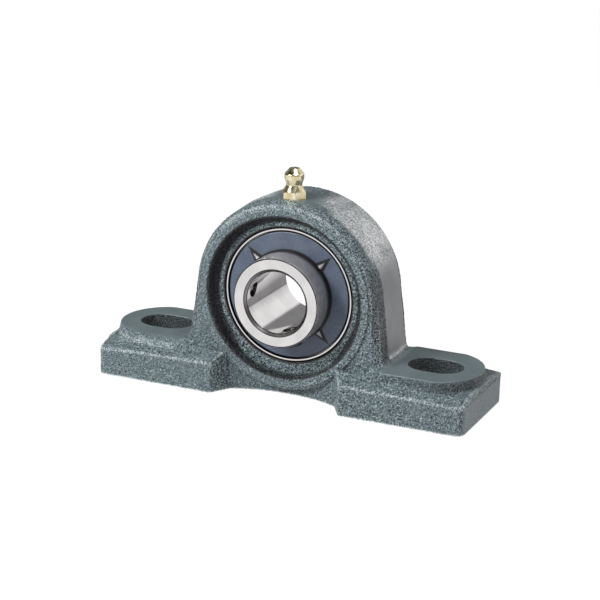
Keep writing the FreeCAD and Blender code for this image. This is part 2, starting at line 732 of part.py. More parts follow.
def hex_prism(flats, centre, direction, length):
    """Hexagonal prism on an axis, with one pair of flats square to the shaft."""
    across = direction.cross(ALONG_SHAFT).normalize()
    along = across.cross(direction).normalize()
    corner = flats / math.sqrt(3)
    points = []
    for i in range(6):
        turn = math.radians(60 * i)
        points.append(centre + across * (corner * math.cos(turn)) + along * (corner * math.sin(turn)))
    return Part.Face(Part.makePolygon(points + points[:1])).extrude(direction * length)


def set_screw(angle):
    """Socket set screw: chamfered ends, hexagon socket outside, a cup that holds the ball inside."""
    radius = SCREW_RADIUS - SCREW_THREAD_GAP
    inner = BORE_RADIUS + SCREW_REST_CLEARANCE + SCREW_BALL_PROUD
    outer = inner + SCREW_LENGTH
    direction = (around_shaft(1, angle) - AXIS).normalize()
    foot = around_shaft(inner, angle, SCREW_Y)
    tapers = []
    neck = radius - SCREW_END_CHAMFER
    middle = Part.makeCylinder(
        radius, SCREW_LENGTH - 2 * SCREW_END_CHAMFER, foot + direction * SCREW_END_CHAMFER, direction
    )
    for end, way in ((inner + SCREW_END_CHAMFER, -1), (outer - SCREW_END_CHAMFER, 1)):
        place = around_shaft(end, angle, SCREW_Y)
        tapers.append(Part.makeCone(radius, neck, SCREW_END_CHAMFER, place, direction * way))
    cup_radius = SCREW_BALL_RADIUS + SCREW_BALL_GAP
    cup = Part.makeSphere(cup_radius, around_shaft(SCREW_BALL_CENTRE, angle, SCREW_Y), direction)
    socket_bottom = SCREW_BALL_CENTRE + cup_radius + SCREW_WEB
    socket_foot = around_shaft(socket_bottom, angle, SCREW_Y)
    socket = hex_prism(SCREW_SOCKET_FLATS, socket_foot, direction, outer + OVERRUN - socket_bottom)
    return middle.fuse(tapers).cut([socket, cup]).removeSplitter()


def screw_ball(angle):
    return Part.makeSphere(SCREW_BALL_RADIUS, around_shaft(SCREW_BALL_CENTRE, angle, SCREW_Y))


def stop_ball():
    return Part.makeSphere(STOP_BALL_RADIUS, around_shaft(STOP_BALL_CENTRE, -90))


# Grease nipple

def nipple_ball_height():
    """Height of the check ball's middle when it rests against its conical seat."""
    cone_bottom = nipple_seat_height() + NIPPLE_HEIGHT - NIPPLE_MOUTH_DEPTH - NIPPLE_CONE_HEIGHT
    slope = math.atan2(NIPPLE_BORE_RADIUS - NIPPLE_MOUTH_RADIUS, NIPPLE_CONE_HEIGHT)
    reach = NIPPLE_BALL_RADIUS + NIPPLE_BALL_GAP
    return cone_bottom - (reach - NIPPLE_BORE_RADIUS * math.cos(slope)) / math.sin(slope)


def spring_radius():
    """Radius of the spring's coils, to the middle of the wire."""
    return NIPPLE_BORE_RADIUS - SPRING_WIRE_RADIUS - SPRING_GAP


def spring_foot_height():
    """Height of the middle of the wire where the spring starts, on its ledge in the nipple."""
    lift = half_chord(NIPPLE_BALL_RADIUS + SPRING_WIRE_RADIUS, spring_radius())
    return nipple_ball_height() - lift - SPRING_LENGTH


def nipple_body():
    """Nipple turned from bar: threaded shank, hexagon, neck and ball-shaped head, bored through."""
    seat = nipple_seat_height()
    top = seat + NIPPLE_HEIGHT
    bottom = seat - NIPPLE_THREAD_LENGTH
    shank = NIPPLE_THREAD_RADIUS - NIPPLE_THREAD_GAP
    hex_top = seat + NIPPLE_HEX_HEIGHT
    flare = NIPPLE_HEX_FLATS / 2
    turned_part = turned_upright(
        0,
        NIPPLE_Y,
        (0, bottom),
        (shank, bottom),
        (shank, hex_top),
        (flare, hex_top),
        (NIPPLE_NECK_RADIUS, seat + NIPPLE_NECK_HEIGHT, NIPPLE_CURVE_RADIUS),
        (NIPPLE_HEAD_RADIUS, seat + NIPPLE_HEAD_LOW, NIPPLE_CURVE_RADIUS),
        (NIPPLE_HEAD_RADIUS, seat + NIPPLE_HEAD_HIGH, NIPPLE_CURVE_RADIUS),
        (NIPPLE_TIP_RADIUS, top),
        (0, top),
    )
    hexagon = hex_prism(NIPPLE_HEX_FLATS, FreeCAD.Vector(0, NIPPLE_Y, seat), UP, NIPPLE_HEX_HEIGHT)
    corner = NIPPLE_HEX_FLATS / math.sqrt(3)
    round_off = Part.makeCone(
        corner + NIPPLE_HEX_HEIGHT, flare, NIPPLE_HEX_HEIGHT, FreeCAD.Vector(0, NIPPLE_Y, seat), UP
    )
    ledge = spring_foot_height() - SPRING_WIRE_RADIUS
    cone_top = top - NIPPLE_MOUTH_DEPTH
    bore = turned_upright(
        0,
        NIPPLE_Y,
        (0, bottom - OVERRUN),
        (NIPPLE_PASSAGE_RADIUS, bottom - OVERRUN),
        (NIPPLE_PASSAGE_RADIUS, ledge),
        (NIPPLE_BORE_RADIUS, ledge),
        (NIPPLE_BORE_RADIUS, cone_top - NIPPLE_CONE_HEIGHT),
        (NIPPLE_MOUTH_RADIUS, cone_top),
        (NIPPLE_MOUTH_RADIUS, top + OVERRUN),
        (0, top + OVERRUN),
    )
    return turned_part.fuse(hexagon.common(round_off)).cut(bore).removeSplitter()


def nipple_ball():
    return Part.makeSphere(NIPPLE_BALL_RADIUS, FreeCAD.Vector(0, NIPPLE_Y, nipple_ball_height()))


def nipple_spring():
    """Small coil spring that holds the check ball against its seat, swept along quarter turns."""
    pitch = SPRING_LENGTH / SPRING_TURNS
    rise = pitch / 4
    path = []
    for i in range(4 * SPRING_TURNS):
        quarter = Part.makeHelix(pitch, rise, spring_radius())
        quarter.rotate(FreeCAD.Vector(0, 0, 0), UP, 90 * i)
        quarter.translate(UP * (rise * i))
        path.extend(quarter.Edges)
    start = FreeCAD.Vector(spring_radius(), 0, 0)
    along_wire = FreeCAD.Vector(0, 2 * math.pi * spring_radius(), pitch)
    section = Part.makeCircle(SPRING_WIRE_RADIUS, start, along_wire)
    coil = Part.Wire(path).makePipeShell([Part.Wire(section)], True, True)
    coil.translate(FreeCAD.Vector(0, NIPPLE_Y, spring_foot_height()))
    return coil


def export(name, shape):
    """Write one sub-part to its own STEP file."""
    shape.exportStep(os.path.join("parts", name + ".step"))


def main():
    os.makedirs("parts", exist_ok=True)
    cage = cage_back()
    core = seal_core()
    lip = seal_lip()
    shield = slinger()
    pieces = {
        "housing": housing(),
        "nipple_body": nipple_body(),
        "nipple_ball": nipple_ball(),
        "nipple_spring": nipple_spring(),
        "outer_ring": outer_ring(),
        "stop_ball": stop_ball(),
        "inner_ring": inner_ring(),
        "cage_front": mirrored_in_y(cage),
        "cage_back": cage,
        "cage_rivets": cage_rivets(),
        "seal_front_core": mirrored_in_y(core),
        "seal_front_lip": mirrored_in_y(lip),
        "seal_back_core": core,
        "seal_back_lip": lip,
        "slinger_front": mirrored_in_y(shield),
        "slinger_back": shield,
    }
    for index in range(BALL_COUNT):
        pieces["ball_%d" % (index + 1)] = ball(index)
    for number, angle in enumerate(SCREW_ANGLES, 1):
        pieces["set_screw_%d" % number] = set_screw(angle)
        pieces["screw_ball_%d" % number] = screw_ball(angle)
    for name, shape in pieces.items():
        export(name, shape)


main()
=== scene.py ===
import json
import math

import bpy
import numpy as np
from mathutils import Matrix, Vector, noise

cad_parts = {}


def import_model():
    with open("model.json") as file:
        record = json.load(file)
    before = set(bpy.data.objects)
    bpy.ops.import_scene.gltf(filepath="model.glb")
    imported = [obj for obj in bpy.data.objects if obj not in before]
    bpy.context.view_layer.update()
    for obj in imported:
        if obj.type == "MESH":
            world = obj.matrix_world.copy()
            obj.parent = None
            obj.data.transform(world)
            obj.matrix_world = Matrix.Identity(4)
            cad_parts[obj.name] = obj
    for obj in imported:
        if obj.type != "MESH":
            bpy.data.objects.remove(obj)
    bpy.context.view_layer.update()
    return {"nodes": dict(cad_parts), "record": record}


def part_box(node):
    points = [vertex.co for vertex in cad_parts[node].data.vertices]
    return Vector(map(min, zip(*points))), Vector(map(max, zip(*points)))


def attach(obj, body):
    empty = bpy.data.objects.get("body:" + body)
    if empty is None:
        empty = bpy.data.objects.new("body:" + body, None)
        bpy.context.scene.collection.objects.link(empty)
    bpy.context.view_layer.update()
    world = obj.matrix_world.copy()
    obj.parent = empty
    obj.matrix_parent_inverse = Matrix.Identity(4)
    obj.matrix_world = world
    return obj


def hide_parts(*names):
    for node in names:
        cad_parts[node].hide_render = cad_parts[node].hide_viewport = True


# Looks of a two-bolt pillow block bearing, in metres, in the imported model's frame:
# +X along the base, +Z up, -Y the front. The shaft axis runs along Y above the origin.

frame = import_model()

MM = 0.001

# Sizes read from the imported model
RING_LOW, RING_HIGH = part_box("outer_ring")
NIPPLE_LOW, NIPPLE_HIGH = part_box("nipple_body")
HOUSING_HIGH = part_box("housing")[1]
CENTRE_HEIGHT = (RING_LOW.z + RING_HIGH.z) / 2
OUTER_RING_RADIUS = (RING_HIGH.z - RING_LOW.z) / 2
OUTER_RING_HALF_WIDTH = (RING_HIGH.y - RING_LOW.y) / 2
DOME_RADIUS = HOUSING_HIGH.z - CENTRE_HEIGHT
NIPPLE_Y = (NIPPLE_LOW.y + NIPPLE_HIGH.y) / 2
PAD_HEIGHT = 15 * MM
PAD_START = 33 * MM
PAD_HALF_WIDTH = 14.6 * MM
PAD_END_RADIUS = 15.4 * MM
PAD_STRAIGHT_END = 52.4 * MM
BASE_HALF_WIDTH = HOUSING_HIGH.y
LIP_RADIUS = 29.9 * MM
LIP_PROUD = 0.7 * MM

# How far a foot's top edge lies below the pad: along its side, and across its end
FOOT_SIDE_DROPS = ((0, 47.5 * MM, 63.5 * MM), (4.6 * MM, 5.4 * MM, 6.0 * MM))
FOOT_END_DROPS = ((0, 14.6 * MM, 18.7 * MM), (3.2 * MM, 4.4 * MM, 6.0 * MM))

# Sizes of the bearing's zones, measured from the shaft axis
INNER_LOW, INNER_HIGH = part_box("inner_ring")
SLINGER_LOW, SLINGER_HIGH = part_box("slinger_front")
INNER_LAND = (INNER_HIGH.z - INNER_LOW.z) / 2
SLINGER_RADIUS = (SLINGER_HIGH.z - SLINGER_LOW.z) / 2
BORE_RADIUS = 10 * MM
BORE_CHAMFER = 1 * MM
RING_FACE_INNER = 21.18 * MM
RING_FACE_OUTER = 21.66 * MM
CLAW_ROOT = INNER_LAND + 0.6 * MM
CLAW_LENGTH = 4.6 * MM
CLAW_HALF_WIDTH = 1.45 * MM
RECESS_WALL = 25.55 * MM
RECESS_MOUTH = 27.3 * MM
RECESS_FLOOR = 8.9 * MM
LIP_FACE = 13.0 * MM
SLOT_X = 47.5 * MM
SLOT_RADIUS = 6.5 * MM
SLOT_STRAIGHT = 2.5 * MM

# Cast skin of the housing
VOXEL = 0.27 * MM
SMOOTHING_ROUNDS = 2
SMOOTHING_SHARES = (0.6, -0.62)
SHRINK_SHARE = 0.7
EDGE_ROUNDS = 24
EDGE_SIZE = 0.26 * MM
SOFT_ROUNDS = 60
SEAT_CLEARANCE = 0.12 * MM
GRAIN_SIZE = 0.66 * MM
GRAIN_HEIGHT = 0.14 * MM
RIPPLE_SIZE = 2.4 * MM
RIPPLE_HEIGHT = 0.08 * MM
SWELL_SIZE = 11 * MM
SWELL_HEIGHT = 0.12 * MM
GROUND_BAND_BACK = 9.5 * MM
GROUND_BAND_FRONT = 5.6 * MM
GROUND_ROUGHNESS = 0.10
NIPPLE_SPOT = 8 * MM
RIDGE_INSET = 0.65 * MM

# How strongly the skin's zones are smooth, darkened with painted shade, or chipped and given painted
# glints, from 0 to 1
SHOULDER_FROST = 0.75
SLOPE_DRESSING = 0.55
END_DRESSING = 0.7
WALL_SHADE = 0.93
SEAT_SHADE = 0.97
SLOT_SHADE = 0.70
# The next four: painted glints on the right shoulder, the left pad's front band and the lip's arc, and how
# much of the chipped paint and painted glints the pad rims and corners lose
SHOULDER_GLINT = 0.95
PAD_BAND_GLINT = 0.85
LIP_GLINT = 0.9
RIM_CHIP_AND_GLINT_CUT = 0.85

# Paint, in the sizes of its noise and the depth of its bump
SPECKLE_SIZE = 0.36 * MM
WRINKLE_SIZE = 0.72 * MM
PAINT_GRAIN_SIZE = 0.54 * MM
PATCH_SIZE = 2.4 * MM
CLOUD_SIZE = 9 * MM
PAINT_RELIEF = 0.62 * MM

# Lines left by turning
TURNING_PITCH = 0.12 * MM
TURNING_RELIEF = 0.006 * MM

# How brightly the world lights diffuse surfaces
WORLD_LIGHT = 0.20

# The white floor, and how bright metal sees it behind the object
FLOOR_GLOW = 1.11
GLOW_SHARE = 0.86
REAR_FLOOR = 0.24
REAR_FLOOR_FADE = (20 * MM, 120 * MM)
FLOOR_HALF_SIZE = 3.0
FLOOR_DEPTH = 0.05 * MM

# The room as metal sees it. Each row has an axis of the direction, the two values
# on it between which the brightness fades, and the brightness below and above them.
ROOM_FADES = (
    ("X", -0.03, 0.09, 0.26, 1.0),
    ("Y", -0.25, 0.35, 0.30, 1.0),
    ("Z", -0.10, 0.34, 0.62, 1.0),
    ("Z", 0.50, 0.85, 1.0, 0.40),
)

# Lamps: name, azimuth and elevation in degrees, width, height and power
LAMP_DISTANCE = 0.9
LAMPS = (
    ("key", -35, 31, 0.30, 0.30, 7.7),
    ("fill", 98, 20, 0.35, 0.35, 0.4),
    ("top", 60, 68, 0.45, 0.30, 3.2),
)

# Camera, fitted to the photograph
CAMERA_TARGET = Vector((0, 0, 30 * MM))
CAMERA_AZIMUTH = math.radians(23.887)
CAMERA_ELEVATION = math.radians(17.580)
CAMERA_ROLL = math.radians(1.257)
CAMERA_DISTANCE = 635.468 * MM
CAMERA_SIDESTEP = 0.334 * MM
CAMERA_RISE = -0.627 * MM
SENSOR_WIDTH = 36.0
FOCAL_LENGTH = 119.008


# Node helpers

def put(tree, socket, value):
    """Sets a socket, or links it when the value comes from another socket."""
    if isinstance(value, bpy.types.NodeSocket):
        tree.links.new(value, socket)
    else:
        socket.default_value = value


def math_node(tree, operation, a, b):
    node = tree.nodes.new("ShaderNodeMath")
    node.operation = operation
    put(tree, node.inputs[0], a)
    put(tree, node.inputs[1], b)
    return node.outputs[0]


def ramp_between(tree, value, low, high, start, end):
    """start below low, end above high, and a smooth step between."""
    node = tree.nodes.new("ShaderNodeMapRange")
    node.interpolation_type = "SMOOTHSTEP"
    for name, number in (("From Min", low), ("From Max", high), ("To Min", start), ("To Max", end)):
        node.inputs[name].default_value = number
    tree.links.new(value, node.inputs["Value"])
    return node.outputs["Result"]


def blended(tree, factor, low, high):
    """low where the factor is 0, and high where it is 1."""
    mix = tree.nodes.new("ShaderNodeMix")
    tree.links.new(factor, mix.inputs[0])
    put(tree, mix.inputs[2], low)
    put(tree, mix.inputs[3], high)
    return mix.outputs[0]


class Shader:
    """A material's node tree with short calls for the nodes that the materials here use."""

    def __init__(self, name):
        self.material = bpy.data.materials.new(name)
        self.material.use_nodes = True
        self.tree = self.material.node_tree
        self.nodes = self.tree.nodes
        self.links = self.tree.links
        self.surface = self.nodes["Principled BSDF"]
        self.place = self.nodes.new("ShaderNodeTexCoord").outputs["Object"]

    def set(self, **values):
        """Principled sockets, named with underscores for spaces."""
        for name, value in values.items():
            put(self.tree, self.surface.inputs[name.replace("_", " ")], value)

    def noise(self, size, detail=2.0, roughness=0.5, place=None):
        """Noise from 0 to 1 whose features are about size metres across."""
        node = self.nodes.new("ShaderNodeTexNoise")
        node.inputs["Scale"].default_value = 1 / size
        node.inputs["Detail"].default_value = detail
        node.inputs["Roughness"].default_value = roughness
        self.links.new(place or self.place, node.inputs["Vector"])
        return node.outputs["Fac"]

    def cells(self, size, smoothness=0.3):
        """Distance from the middle of rounded grains of about size metres."""
        node = self.nodes.new("ShaderNodeTexVoronoi")
        node.feature = "SMOOTH_F1"
        node.inputs["Scale"].default_value = 1 / size
        node.inputs["Smoothness"].default_value = smoothness
        self.links.new(self.place, node.inputs["Vector"])
        return node.outputs["Distance"]

    def math(self, operation, a, b=0.0):
        return math_node(self.tree, operation, a, b)

    def ramp(self, value, low, high, start=0.0, end=1.0):
        """start below low, end above high, and a smooth step between."""
        return ramp_between(self.tree, value, low, high, start, end)

    def mix(self, factor, a, b):
        node = self.nodes.new("ShaderNodeMix")
        node.data_type = "RGBA"
        put(self.tree, node.inputs[0], factor)
        put(self.tree, node.inputs[6], a)
        put(self.tree, node.inputs[7], b)
        return node.outputs[2]

    def attribute(self, name):
        node = self.nodes.new("ShaderNodeAttribute")
        node.attribute_name = name
        return node.outputs["Fac"]

    def bump(self, height, distance, strength=1.0):
        node = self.nodes.new("ShaderNodeBump")
        node.inputs["Distance"].default_value = distance
        put(self.tree, node.inputs["Strength"], strength)
        self.links.new(height, node.inputs["Height"])
        self.links.new(node.outputs["Normal"], self.surface.inputs["Normal"])

    def polar(self):
        """Distance from the shaft axis, angle about it, and distance along it."""
        split = self.nodes.new("ShaderNodeSeparateXYZ")
        self.links.new(self.place, split.inputs[0])
        x, y, z = split.outputs
        rise = self.math("SUBTRACT", z, CENTRE_HEIGHT)
        squares = self.math("ADD", self.math("MULTIPLY", x, x), self.math("MULTIPLY", rise, rise))
        return self.math("SQRT", squares), self.math("ARCTAN2", rise, x), y

    def around_shaft(self, across, along):
        """Coordinates that stretch noise along circles about the shaft."""
        radius, angle, y = self.polar()
        join = self.nodes.new("ShaderNodeCombineXYZ")
        self.links.new(self.math("MULTIPLY", radius, across), join.inputs[0])
        self.links.new(self.math("MULTIPLY", y, across), join.inputs[1])
        self.links.new(self.math("MULTIPLY", angle, along), join.inputs[2])
        return join.outputs[0]

    def within(self, value, low, high, blur):
        """1 where the value lies between low and high, with blurred ends."""
        above = self.ramp(value, low - blur, low + blur)
        below = self.ramp(value, high - blur, high + blur, 1.0, 0.0)
        return self.math("MULTIPLY", above, below)


def colour(red, green, blue):
    return (red, green, blue, 1.0)


# Colours of the paint and of the bare iron, each pair from dark to light

# PIT and GLINT: painted shade in the skin's pits and painted glints on its ridges
PIT = colour(0.012, 0.019, 0.022)
PAINT = colour(0.108, 0.153, 0.169)
GLINT = colour(0.385, 0.465, 0.485)
DRESSED_PAINT = (colour(0.102, 0.138, 0.148), colour(0.130, 0.168, 0.178))
DULL_IRON = (colour(0.29, 0.295, 0.305), colour(0.37, 0.375, 0.385))
# Painted highlight with glints on the ground band's upper part and foot
HIGHLIT_IRON = (colour(0.34, 0.35, 0.36), colour(0.86, 0.87, 0.88))
# Painted shade with glints for the flanks, where the light grazes
SHADED_FLANK = (colour(0.010, 0.010, 0.013), colour(0.21, 0.22, 0.235))
# Chipped paint, also used for painted glints
CHIP_AND_GLINT = colour(0.62, 0.66, 0.67)
# Painted shade
SHADE = colour(0.010, 0.009, 0.011)

# Colours of the turned steel
GROUND_STEEL = (colour(0.68, 0.66, 0.66), colour(0.77, 0.75, 0.75))
TURNED_STEEL = (colour(0.50, 0.49, 0.495), colour(0.82, 0.81, 0.815))
# Painted shade on the inner ring's outside beside the slinger
SHADE_BESIDE_SLINGER = colour(0.12, 0.11, 0.115)
# Painted dark reflection and shade on the rings' chamfered edges
PAINTED_EDGE_DARK = colour(0.035, 0.032, 0.034)


# Materials

def cast_paint():
    """Thin grey-green paint on a sand-cast skin: painted shade in pits and painted glints on ridges,
    chipped paint and painted glints on edges, painted shade in hollows and on the flanks, bare where
    ground.
    """
    s = Shader("cast_paint")
    ground = s.attribute("ground")
    dressed = s.attribute("dressed")
    calm = s.attribute("calm")
    edge = s.attribute("edge")
    flank = s.attribute("flank")
    speckle = s.noise(SPECKLE_SIZE, 2.0, 0.6)
    wrinkle = s.noise(WRINKLE_SIZE, 2.0, 0.5)
    patch = s.noise(PATCH_SIZE, 2.0, 0.5)
    cloud = s.noise(CLOUD_SIZE, 3.0, 0.55)
    grain = s.cells(PAINT_GRAIN_SIZE)
    smooth = s.math("MAXIMUM", ground, dressed)
    bumps = s.math("ADD", s.math("MULTIPLY", speckle, 0.6), wrinkle)
    relief = s.math("SUBTRACT", bumps, s.math("MULTIPLY", grain, 0.7))
    raised = s.math("MULTIPLY", s.attribute("height"), 0.35)
    tone = s.math("ADD", raised, s.math("MULTIPLY", relief, 0.65))
    # Weaker painted pit shade and glints where the paint lies evenly and the light falls face-on
    evened = s.math("MULTIPLY", s.math("SUBTRACT", 0.50, tone), s.math("MULTIPLY", calm, 0.45))
    # Lighter on edges: chipped paint and painted glints
    tone = s.math("ADD", s.math("ADD", tone, evened), s.math("MULTIPLY", edge, 0.07))
    # Painted shade in the pits and painted glints on the ridges, set by the skin's relief
    pits = s.mix(s.ramp(tone, 0.24, 0.48), PIT, PAINT)
    rough_paint = s.mix(s.ramp(tone, 0.46, 0.70), pits, GLINT)
    dressed_paint = s.mix(s.ramp(cloud, 0.3, 0.7), *DRESSED_PAINT)
    dull = s.mix(s.ramp(cloud, 0.3, 0.7), *DULL_IRON)
    # Painted highlight with glints on the ground band's upper part and foot
    bright = s.mix(s.ramp(tone, 0.35, 0.60), *HIGHLIT_IRON)
    bare = s.mix(s.attribute("bright"), dull, bright)
    paint = s.mix(ground, s.mix(dressed, rough_paint, dressed_paint), bare)
    # Painted shade with glints on the flanks, where the light grazes
    shaded_flank = s.mix(s.ramp(tone, 0.30, 0.62), *SHADED_FLANK)
    unground = s.math("SUBTRACT", 1.0, ground)
    paint = s.mix(s.math("MULTIPLY", s.math("MULTIPLY", flank, unground), 0.85), paint, shaded_flank)
    # Chipped paint and painted glints on edges, ridges, the lip and the right shoulder
    chips = s.math("MULTIPLY", s.ramp(speckle, 0.46, 0.56), s.ramp(patch, 0.36, 0.58))
    worn = s.math("MULTIPLY", s.ramp(edge, 0.30, 0.90), chips)
    paint = s.mix(s.math("MULTIPLY", worn, 0.85), paint, CHIP_AND_GLINT)
    gloss = s.math("ADD", speckle, s.math("MULTIPLY", smooth, 0.08))
    s.set(
        Base_Color=s.mix(s.attribute("shade"), paint, SHADE),
        Metallic=s.math("MULTIPLY", ground, 0.25),
        Roughness=s.ramp(gloss, 0.3, 0.7, 0.26, 0.50),
        Specular_IOR_Level=0.6,
    )
    s.bump(relief, PAINT_RELIEF, s.ramp(smooth, 0.0, 1.0, 1.0, 0.08))
    return s.material


def turned_steel(name, dark_zones, dull_zones=None, polished_zones=None):
    """Bearing steel with fine lines round the shaft.

    It is bright where ground, with painted dark reflection and shade on its edges, and duller where only
    turned, with painted shade beside the slinger.
    """
    s = Shader(name)
    lines = s.noise(1.0, 2.0, 0.6, s.around_shaft(1 / TURNING_PITCH, 9.0))
    cloud = s.noise(6 * MM, 2.0)
    bright = s.mix(s.ramp(cloud, 0.3, 0.7), *GROUND_STEEL)
    dark = dark_zones(s)
    base = bright
    gloss = s.math("ADD", s.ramp(lines, 0.3, 0.7, 0.16, 0.28), s.math("MULTIPLY", dark, 0.15))
    if dull_zones:
        dull = dull_zones(s)
        turned = s.mix(s.ramp(lines, 0.35, 0.65), *TURNED_STEEL)
        depth = s.math("ABSOLUTE", s.polar()[2])
        # Painted shade on the outside close to the slinger
        turned = s.mix(s.ramp(depth, 9.2 * MM, 11.8 * MM), SHADE_BESIDE_SLINGER, turned)
        base = s.mix(dull, base, turned)
        gloss = s.math("ADD", gloss, s.math("MULTIPLY", dull, 0.26))
    relief = 1.0
    if polished_zones:
        polished = polished_zones(s)
        gloss = s.math("SUBTRACT", gloss, s.math("MULTIPLY", polished, 0.13))
        relief = s.ramp(polished, 0.0, 1.0, 1.0, 0.15)
    metallic = s.math("SUBTRACT", 1.0, s.math("MULTIPLY", dull, 0.08)) if dull_zones else 1.0
    # Painted dark reflection and shade on the edges
    s.set(Base_Color=s.mix(dark, base, PAINTED_EDGE_DARK), Metallic=metallic, Roughness=gloss)
    s.bump(lines, TURNING_RELIEF, relief)
    return s.material


def inner_ring_steel():
    """Bright ends and bore, a duller outside, and painted dark reflections on the chamfers."""

    def chamfers(s):
        radius = s.polar()[0]
        middle = BORE_RADIUS + BORE_CHAMFER / 2 + 0.05 * MM
        away = s.math("ABSOLUTE", s.math("SUBTRACT", radius, middle))
        lines = s.within(away, BORE_CHAMFER / 2 - 0.22 * MM, BORE_CHAMFER / 2, 0.04 * MM)
        between = s.ramp(away, BORE_CHAMFER / 2 - 0.15 * MM, BORE_CHAMFER / 2 - 0.05 * MM, 0.72, 0.0)
        bore_edge = s.math("MAXIMUM", lines, between)
        outer_edge = s.within(radius, INNER_LAND - 0.42 * MM, INNER_LAND - 0.06 * MM, 0.04 * MM)
        return s.math("MAXIMUM", bore_edge, outer_edge)

    def outside(s):
        return s.ramp(s.polar()[0], INNER_LAND - 0.08 * MM, INNER_LAND - 0.03 * MM)

    def bore(s):
        return s.ramp(s.polar()[0], BORE_RADIUS + 0.02 * MM, BORE_RADIUS + 0.06 * MM, 1.0, 0.0)

    return turned_steel("inner_ring_steel", chamfers, outside, bore)


def outer_ring_steel():
    """A bright flat end face between two edges painted dark, for the shade in the gaps beside them."""

    def edges(s):
        radius = s.polar()[0]
        middle = (RING_FACE_INNER + RING_FACE_OUTER) / 2
        half = (RING_FACE_OUTER - RING_FACE_INNER) / 2
        away = s.math("ABSOLUTE", s.math("SUBTRACT", radius, middle))
        return s.ramp(away, half - 0.06 * MM, half)

    return turned_steel("outer_ring_steel", edges)


def slinger_steel():
    """Pressed sheet with a slate-blue coating and a faint mottle, scraped bright on its claws, with painted
    shade in the slits beside the claws and in the gaps at its inner and outer edges.
    """
    s = Shader("slinger_steel")
    radius, angle, along = s.polar()
    mottle = s.noise(0.7 * MM, 3.0, 0.6)
    cloud = s.noise(5 * MM, 2.0)
    tone = s.math("ADD", s.math("MULTIPLY", mottle, 0.5), s.math("MULTIPLY", cloud, 0.5))
    coat = s.mix(s.ramp(tone, 0.35, 0.65), colour(0.066, 0.086, 0.130), colour(0.100, 0.126, 0.176))
    quarter = math.radians(45)
    off = s.math("PINGPONG", s.math("SUBTRACT", angle, quarter), quarter)
    across = s.math("MULTIPLY", radius, s.math("SINE", off))
    out = s.math("MULTIPLY", radius, s.math("COSINE", off))
    slope = CLAW_HALF_WIDTH / CLAW_LENGTH
    half_width = s.math("MULTIPLY", s.math("SUBTRACT", CLAW_ROOT + CLAW_LENGTH, out), slope)
    outside = s.math("SUBTRACT", across, half_width)
    claw = s.ramp(outside, -0.84 * MM, -0.66 * MM, 1.0, 0.0)
    reach = CLAW_ROOT + CLAW_LENGTH
    # Painted shade in the slits beside each claw
    slit_shade = s.within(outside, -0.68 * MM, 0.26 * MM, 0.08 * MM)
    slit_shade = s.math("MULTIPLY", slit_shade, s.ramp(out, reach + 0.3 * MM, reach + 0.6 * MM, 1.0, 0.0))
    # Painted shade in the gaps at the inner ring and at the outer rim
    joint_shade = s.ramp(radius, INNER_LAND + 0.35 * MM, INNER_LAND + 0.75 * MM, 1.0, 0.0)
    rim = s.ramp(radius, SLINGER_RADIUS - 0.40 * MM, SLINGER_RADIUS - 0.10 * MM)
    dark = s.math("MAXIMUM", slit_shade, s.math("MAXIMUM", joint_shade, rim))
    face = s.mix(claw, coat, colour(0.60, 0.58, 0.57))
    s.set(
        Base_Color=s.mix(dark, face, colour(0.012, 0.012, 0.014)),
        Metallic=s.math("MULTIPLY", claw, 0.8),
        Roughness=s.ramp(mottle, 0.3, 0.7, 0.38, 0.52),
    )
    s.bump(mottle, 0.03 * MM)
    return s.material


def yellow_plating():
    """Yellow-plated steel, bright and slightly worn."""
    s = Shader("yellow_plating")
    cloud = s.noise(1.6 * MM, 3.0, 0.6)
    s.set(
        Base_Color=s.mix(s.ramp(cloud, 0.35, 0.7), colour(0.64, 0.54, 0.30), colour(0.90, 0.84, 0.66)),
        Metallic=1.0,
        Roughness=s.ramp(cloud, 0.3, 0.7, 0.14, 0.28),
    )
    s.bump(cloud, 0.02 * MM)
    return s.material


def plain_metal(name, base, roughness, metallic=1.0, size=0.8 * MM, relief=0.004 * MM):
    """A metal with a faint cloud in its colour and gloss."""
    s = Shader(name)
    cloud = s.noise(size, 3.0, 0.6)
    darker = colour(*(0.8 * channel for channel in base))
    s.set(
        Base_Color=s.mix(s.ramp(cloud, 0.3, 0.7), darker, colour(*base)),
        Metallic=metallic,
        Roughness=s.ramp(cloud, 0.3, 0.7, roughness * 0.8, roughness * 1.2),
    )
    s.bump(cloud, relief)
    return s.material


def seal_rubber():
    s = Shader("seal_rubber")
    grain = s.noise(0.25 * MM, 3.0)
    s.set(
        Base_Color=s.mix(grain, colour(0.012, 0.012, 0.012), colour(0.035, 0.035, 0.036)),
        Roughness=s.ramp(grain, 0.3, 0.7, 0.5, 0.65),
    )
    s.bump(grain, 0.01 * MM)
    return s.material


# Cast housing

def remeshed(source, name, voxel):
    """Even, closed quad mesh of a CAD node."""
    rough = bpy.data.objects.new(name + "_source", source.data.copy())
    bpy.context.collection.objects.link(rough)
    remesh = rough.modifiers.new("Remesh", "REMESH")
    remesh.mode = "VOXEL"
    remesh.voxel_size = voxel
    depsgraph = bpy.context.evaluated_depsgraph_get()
    mesh = bpy.data.meshes.new_from_object(rough.evaluated_get(depsgraph))
    mesh.name = name
    bpy.data.objects.remove(rough)
    return mesh


def edge_ends(mesh):
    """Both vertex numbers of every edge."""
    ends = np.zeros(len(mesh.edges) * 2, np.int32)
    mesh.edges.foreach_get("vertices", ends)
    return ends.reshape(-1, 2).T


def smoothed(points, ends, shares):
    """Moves each point towards the mean of its neighbours, once for each share."""
    start, end = ends
    size = len(points)
    count = np.bincount(start, minlength=size) + np.bincount(end, minlength=size)
    points = points.copy()
    for share in shares:
        for axis in range(3):
            line = points[:, axis]
            total = np.bincount(start, line[end], size) + np.bincount(end, line[start], size)
            points[:, axis] = line + (total / count - line) * share
    return points


